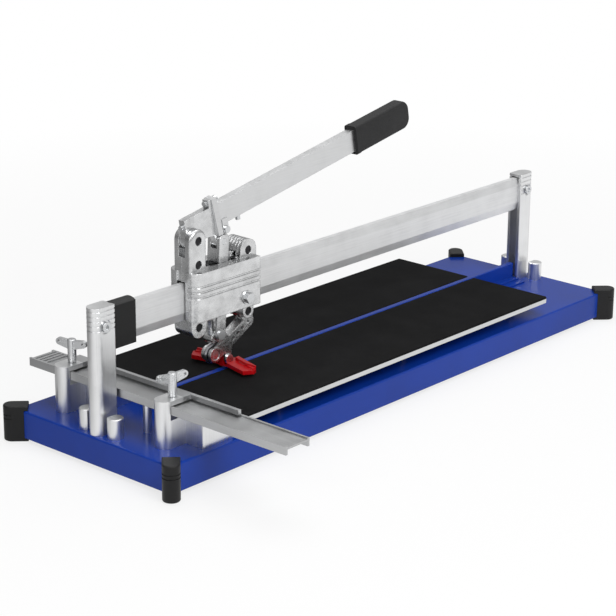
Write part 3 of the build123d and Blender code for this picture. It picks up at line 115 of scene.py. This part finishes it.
class Look(Tree):
    """One material's node tree around its shader."""

    def __init__(self, name):
        self.material = bpy.data.materials.new(name)
        self.material.use_nodes = True
        super().__init__(self.material.node_tree)
        self.shader = self.tree.nodes["Principled BSDF"]

    def noise(self, stretch, size, detail, rough):
        """Noise in the object's own coordinates."""
        coordinates = self.add("ShaderNodeTexCoord")
        mapping = self.add("ShaderNodeMapping")
        mapping.inputs["Scale"].default_value = stretch
        self.join(coordinates.outputs["Object"], mapping.inputs["Vector"])
        noise = self.add("ShaderNodeTexNoise")
        noise.inputs["Scale"].default_value = size
        noise.inputs["Detail"].default_value = detail
        noise.inputs["Roughness"].default_value = rough
        self.join(mapping.outputs["Vector"], noise.inputs["Vector"])
        return noise.outputs["Fac"]

    def colour(self, value, *stops):
        """The base colour from a value, by stops of position and colour."""
        ramp = self.add("ShaderNodeValToRGB")
        elements = ramp.color_ramp.elements
        while len(elements) < len(stops):
            elements.new(noise_middle)
        for element, (position, colour) in zip(elements, stops):
            element.position = position
            element.color = (*colour, 1.0)
        self.join(value, ramp.inputs["Fac"])
        self.join(ramp.outputs["Color"], self.shader.inputs["Base Color"])

    def roughness(self, value, span):
        self.join(self.rescale(value, noise_span, span), self.shader.inputs["Roughness"])

    def soft_edges(self, radius):
        bevel = self.add("ShaderNodeBevel", samples=4)
        bevel.inputs["Radius"].default_value = radius
        return bevel.outputs["Normal"]

    def bump(self, height, strength, distance, onto):
        bump = self.add("ShaderNodeBump")
        bump.inputs["Strength"].default_value = strength
        bump.inputs["Distance"].default_value = distance
        self.join(height, bump.inputs["Height"])
        self.join(onto, bump.inputs["Normal"])
        return bump.outputs["Normal"]

    def surface(self, normal):
        self.join(normal, self.shader.inputs["Normal"])

    def set(self, socket, value):
        self.shader.inputs[socket].default_value = value


def toned(colour, factor):
    return tuple(part * factor for part in colour)


# Materials

def metal(name, colour, streak, rough, grain=0.25, metallic=1.0):
    """Satin metal: streaks along one axis or an even grain, faint blotches, softly rounded edges."""
    dark = 0.88
    pale = 1.072
    look = Look(name)
    lines = look.noise(streak, size=1.0, detail=3.0, rough=0.6)
    clouds = look.noise(uniform, size=35.0, detail=3.0, rough=0.5)
    mixed = look.average(lines, clouds)
    look.colour(
        mixed,
        (noise_span[0], toned(colour, dark)),
        (noise_middle, colour),
        (noise_span[1], toned(colour, pale)),
    )
    look.roughness(mixed, rough)
    edges = look.soft_edges(radius=0.0004)
    look.surface(look.bump(lines, strength=grain, distance=0.0002, onto=edges))
    look.set("Metallic", metallic)
    return look.material


def cast_metal(name, colour, rough, pit):
    """Cast and tumbled metal: pebbled skin, mottled tone, worn edges."""
    dark = 0.78
    pale = 1.15
    pale_from = 0.68
    swell_strength = pit * 0.6
    look = Look(name)
    skin = look.noise(uniform, size=900.0, detail=4.0, rough=0.6)
    swell = look.noise(uniform, size=160.0, detail=3.0, rough=0.5)
    clouds = look.noise(uniform, size=45.0, detail=4.0, rough=0.6)
    look.colour(
        clouds,
        (noise_span[0], toned(colour, dark)),
        (noise_middle, colour),
        (pale_from, toned(colour, pale)),
    )
    look.roughness(skin, rough)
    edges = look.soft_edges(radius=0.0012)
    worn = look.bump(swell, strength=swell_strength, distance=0.0012, onto=edges)
    look.surface(look.bump(skin, strength=pit, distance=0.0002, onto=worn))
    look.set("Metallic", 1.0)
    return look.material


def coating(name, colour, rough, peel, gloss):
    """Powder coat or paint with an orange-peel skin."""
    dark = 0.9
    pale = 1.1
    look = Look(name)
    skin = look.noise(uniform, size=420.0, detail=2.0, rough=0.5)
    clouds = look.noise(uniform, size=9.0, detail=3.0, rough=0.5)
    look.colour(
        clouds,
        (noise_span[0], toned(colour, dark)),
        (noise_span[1], toned(colour, pale)),
    )
    look.roughness(clouds, rough)
    edges = look.soft_edges(radius=0.0008)
    look.surface(look.bump(skin, strength=peel, distance=0.0004, onto=edges))
    look.set("Specular IOR Level", gloss)
    return look.material


def rubber(name, colour, rough, size, grain, gloss, edge=0.0006):
    """Matt rubber or moulded plastic: fine grain, with a faint pale bloom."""
    bloom = 1.5
    bloom_span = (0.35, 0.75)
    look = Look(name)
    skin = look.noise(uniform, size=size, detail=3.0, rough=0.6)
    clouds = look.noise(uniform, size=22.0, detail=4.0, rough=0.6)
    look.colour(
        clouds,
        (bloom_span[0], colour),
        (bloom_span[1], toned(colour, bloom)),
    )
    look.roughness(skin, rough)
    look.surface(look.bump(skin, strength=grain, distance=0.0004, onto=look.soft_edges(edge)))
    look.set("Specular IOR Level", gloss)
    return look.material


looks = {
    "blue_paint": coating(
        "blue powder coat", (0.004, 0.036, 0.29), rough=(0.2, 0.27), peel=0.1, gloss=0.2
    ),
    "black_plastic": rubber(
        "black moulded plastic", (0.008, 0.008, 0.0083),
        rough=(0.42, 0.55), size=700.0, grain=0.2, gloss=0.25,
    ),
    "extruded_aluminium": metal("extruded aluminium", (0.78, 0.785, 0.79), along_z, rough=(0.27, 0.4)),
    "plated_steel": metal("zinc plated steel", (0.64, 0.65, 0.66), even_grain, rough=(0.22, 0.34)),
    "black_steel": metal("blackened steel", (0.035, 0.035, 0.037), even_grain, rough=(0.35, 0.5)),
    "ground_steel": metal(
        "ground rail steel", (0.76, 0.765, 0.77), along_x, rough=(0.38, 0.5), grain=0.2, metallic=0.75
    ),
    "table_metal": metal("table aluminium", (0.66, 0.665, 0.67), along_x, rough=(0.32, 0.42)),
    "mat_rubber": rubber(
        "mat rubber", (0.0075, 0.0075, 0.0078),
        rough=(0.8, 0.95), size=1100.0, grain=0.35, gloss=0.06, edge=0.0004,
    ),
    "spring_steel": metal("spring wire", (0.5, 0.5, 0.52), even_grain, rough=(0.2, 0.3)),
    "cast_aluminium": cast_metal("cast aluminium", (0.65, 0.655, 0.66), rough=(0.19, 0.34), pit=0.5),
    "lever_steel": metal("lever tube steel", (0.68, 0.685, 0.69), along_x, rough=(0.3, 0.42)),
    "grip_rubber": rubber(
        "grip rubber", (0.016, 0.016, 0.0165), rough=(0.55, 0.75), size=800.0, grain=0.4, gloss=0.3
    ),
    "bearing_steel": metal("bearing steel", (0.56, 0.565, 0.57), even_grain, rough=(0.15, 0.25)),
    "pad_brass": metal("brass", (0.62, 0.45, 0.2), even_grain, rough=(0.28, 0.4)),
    "carbide": metal("wheel steel", (0.4, 0.4, 0.42), even_grain, rough=(0.2, 0.3)),
    "red_paint": coating(
        "red paint", (0.44, 0.003, 0.006), rough=(0.28, 0.36), peel=0.2, gloss=0.22
    ),
}

# The fence lies across the cutter, so its streaks run along Y. Its colour is a darker copy of the
# extruded aluminium: painted shade for the shadow that the fence lies in.
fence_metal_painted_shade = metal("fence aluminium with painted shade", (0.5, 0.505, 0.51), along_y, rough=(0.3, 0.42))
own = {"fence_bar": fence_metal_painted_shade, "fence_bridge": fence_metal_painted_shade}
slots = {part["node"]: part["material_slot"] for part in frame["record"]["subparts"]}


def dress(piece, material):
    piece.data.materials.clear()
    piece.data.materials.append(material)


for name, node in nodes.items():
    dress(node, own.get(name, looks[slots[name]]))


# Table springs, wound again as coils of round wire

coil_radius = 0.0056
wire_radius = 0.0007
wire_sides = 10
coil_turns = 2.5
coil_steps = 120

# Turn of level wire at each end of the climb, and the height that each end takes up
level_turn = 0.12
end_rise = 0.004

# Upright wire at each end, and the bend that leads from it into the coil
upright_length = 0.0014
bend_rise = 0.0018
bend_lean = 0.15
bend_steps = 5


def coil_point(t, centre, bottom, top):
    """Point of the coil at t, which runs from 0 at the lower end to 1 at the upper one."""
    turned = t * (coil_turns + 2 * level_turn) - level_turn
    angle = 2 * math.pi * turned
    climb = min(max(turned / coil_turns, 0), 1)
    return Vector((
        centre[0] + coil_radius * math.cos(angle),
        centre[1] + coil_radius * math.sin(angle),
        bottom + end_rise + (top - bottom - 2 * end_rise) * climb,
    ))


def spring_path(centre, bottom, top):
    """Middle line of one spring's wire: upright end, bend, coil, bend, upright end."""
    coil = [coil_point(i / coil_steps, centre, bottom, top) for i in range(coil_steps + 1)]
    foot = [Vector((*coil[0].xy, z)) for z in (bottom, bottom + upright_length)]
    head = [Vector((*coil[-1].xy, z)) for z in (top - upright_length, top)]
    rise = Vector((0, 0, bend_rise))
    low_bend = (foot[1] + rise).lerp(coil[bend_steps], bend_lean)
    high_bend = (head[0] - rise).lerp(coil[-1 - bend_steps], bend_lean)
    return foot + [low_bend] + coil[bend_steps:-bend_steps] + [high_bend] + head


def add_tube(path, points, faces):
    """Closed round wire along a path, added to points and faces."""
    start = len(points)
    side = None
    for i, point in enumerate(path):
        ahead = (path[min(i + 1, len(path) - 1)] - path[max(i - 1, 0)]).normalized()
        if side is None:
            side = ahead.orthogonal().normalized()
        side = (side - ahead * side.dot(ahead)).normalized()
        other = ahead.cross(side)
        for k in range(wire_sides):
            angle = 2 * math.pi * k / wire_sides
            points.append(point + (side * math.cos(angle) + other * math.sin(angle)) * wire_radius)
    for i in range(len(path) - 1):
        for k in range(wire_sides):
            a = start + i * wire_sides + k
            b = start + i * wire_sides + (k + 1) % wire_sides
            faces.append((a, b, b + wire_sides, a + wire_sides))
    last = start + (len(path) - 1) * wire_sides
    faces.append(tuple(start + k for k in reversed(range(wire_sides))))
    faces.append(tuple(last + k for k in range(wire_sides)))


def mesh_piece(name, points, faces, body, slot):
    mesh = bpy.data.meshes.new(name)
    mesh.from_pydata(points, [], faces)
    mesh.update()
    piece = bpy.data.objects.new(name, mesh)
    scene.collection.objects.link(piece)
    dress(piece, looks[slot])
    for face in mesh.polygons:
        face.use_smooth = True
    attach(piece, body)
    return piece


for side in ("right", "left"):
    low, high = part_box(f"table_springs_{side}")
    middle = (low + high) / 2
    spacing = (high.x - low.x) / 2 - coil_radius - wire_radius
    points = []
    faces = []
    for x in (middle.x - spacing, middle.x, middle.x + spacing):
        add_tube(spring_path((x, middle.y), low.z, high.z), points, faces)
    spring = mesh_piece(f"table_spring_coils_{side}", points, faces, "base", "spring_steel")
    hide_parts(f"table_springs_{side}")
    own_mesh(spring)


# Floor

floor_half = 9
floor_drop = 0.0006
floor_grey = 0.86
floor_roughness = 0.9

# The floor shows the object's shadow near it and turns plain white further out
shadow_reach = (0.6, 1.5)
white_share = (0.75, 1.0)

# In reflections the floor is dimmer towards the left, as the studio is
fade_across_y = (-0.1, 0.4)
fade_levels = (1.0, 0.32)

corners = [(-floor_half, -floor_half, 0), (floor_half, -floor_half, 0)]
corners += [(floor_half, floor_half, 0), (-floor_half, floor_half, 0)]
floor_mesh = bpy.data.meshes.new("floor")
floor_mesh.from_pydata(corners, [], [(0, 1, 2, 3)])
floor = bpy.data.objects.new("floor", floor_mesh)
scene.collection.objects.link(floor)
floor.location.z = -floor_drop

pale_floor = Look("pale floor")
pale_floor.set("Base Color", (floor_grey, floor_grey, floor_grey, 1))
pale_floor.set("Roughness", floor_roughness)
floor_ray = pale_floor.add("ShaderNodeLightPath").outputs
position = pale_floor.add("ShaderNodeNewGeometry").outputs["Position"]

distance = pale_floor.add("ShaderNodeVectorMath", operation="LENGTH")
pale_floor.join(position, distance.inputs[0])
outside = pale_floor.rescale(distance.outputs["Value"], shadow_reach, white_share)
seen = pale_floor.combine("MULTIPLY", floor_ray["Is Camera Ray"], outside)
share = pale_floor.combine("MAXIMUM", seen, pale_floor.reflected(floor_ray))

axes = pale_floor.add("ShaderNodeSeparateXYZ")
pale_floor.join(position, axes.inputs[0])
fade = pale_floor.rescale(axes.outputs["Y"], fade_across_y, fade_levels)
glow = pale_floor.add("ShaderNodeEmission")
glow.inputs["Color"].default_value = white
pale_floor.join(pale_floor.combine("MAXIMUM", floor_ray["Is Camera Ray"], fade), glow.inputs["Strength"])

blend = pale_floor.add("ShaderNodeMixShader")
pale_floor.join(share, blend.inputs["Fac"])
pale_floor.join(pale_floor.shader.outputs[0], blend.inputs[1])
pale_floor.join(glow.outputs[0], blend.inputs[2])
pale_floor.join(blend.outputs[0], pale_floor.tree.nodes["Material Output"].inputs["Surface"])
dress(floor, pale_floor.material)


# Surroundings

# They are dimmer towards the left and, in reflections, low down, which gives bare metal its darker faces
dim_heading = (-0.4, 0.92, 0)
dim_across = (0.2, 0.8)
dim_levels = (1.0, 0.45)
overhead_across_z = (0.25, 0.75)
overhead_levels = (0.42, 1.0)
ambient = 0.42

world = bpy.data.worlds.new("studio")
scene.world = world
world.use_nodes = True
studio = Tree(world.node_tree)
background = world.node_tree.nodes["Background"]
background.inputs["Color"].default_value = white
world_ray = studio.add("ShaderNodeLightPath").outputs
heading = studio.add("ShaderNodeTexCoord").outputs["Generated"]

leftward = studio.add("ShaderNodeVectorMath", operation="DOT_PRODUCT")
leftward.inputs[1].default_value = dim_heading
studio.join(heading, leftward.inputs[0])
shade = studio.rescale(leftward.outputs["Value"], dim_across, dim_levels)

upward = studio.add("ShaderNodeSeparateXYZ")
studio.join(heading, upward.inputs[0])
overhead = studio.rescale(upward.outputs["Z"], overhead_across_z, overhead_levels)

bounced = studio.reflected(world_ray)
diffuse_level = studio.rescale(bounced, (0, 1), (ambient, 0))
mirror_level = studio.combine("MULTIPLY", bounced, overhead)
either_level = studio.combine("MAXIMUM", diffuse_level, mirror_level)
shaded_level = studio.combine("MULTIPLY", either_level, shade)
strength = studio.combine("MAXIMUM", shaded_level, world_ray["Is Camera Ray"])
studio.join(strength, background.inputs["Strength"])


# Lamps

lamp_target = Vector((0, 0, 0.1))


def lamp(name, place, size, power):
    light = bpy.data.lights.new(name, "AREA")
    light.shape = "SQUARE"
    light.size = size
    light.energy = power
    holder = bpy.data.objects.new(name, light)
    scene.collection.objects.link(holder)
    holder.location = place
    aim = lamp_target - Vector(place)
    holder.rotation_euler = aim.to_track_quat("-Z", "Y").to_euler()


lamp("key", (-0.7, -2.5, 2.4), size=1.8, power=62)
lamp("fill", (-2.6, -0.6, 1.4), size=1.4, power=12)
lamp("top", (0.6, 0.5, 3.0), size=2.4, power=36)


# The photograph's camera, solved from the corners of the base

camera_sensor = 36.0
camera_lens = 119.26
camera_place = (-1.98424, -1.70686, 0.97072)
camera_heading = (0.7103, 0.6282, -0.3178)
camera_roll = math.radians(0.43)

camera_data = bpy.data.cameras.new("photo camera")
camera_data.sensor_width = camera_sensor
camera_data.lens = camera_lens
camera = bpy.data.objects.new("photo camera", camera_data)
scene.collection.objects.link(camera)
forward = Vector(camera_heading).normalized()
right = forward.cross(Vector((0, 0, 1))).normalized()
above = right.cross(forward)
tilted_right = right * math.cos(camera_roll) + above * math.sin(camera_roll)
tilted_up = above * math.cos(camera_roll) - right * math.sin(camera_roll)
turn = Matrix((tilted_right, tilted_up, -forward)).transposed()
camera.matrix_world = Matrix.Translation(camera_place) @ turn.to_4x4()
scene.camera = camera
scene.view_settings.view_transform = "Standard"
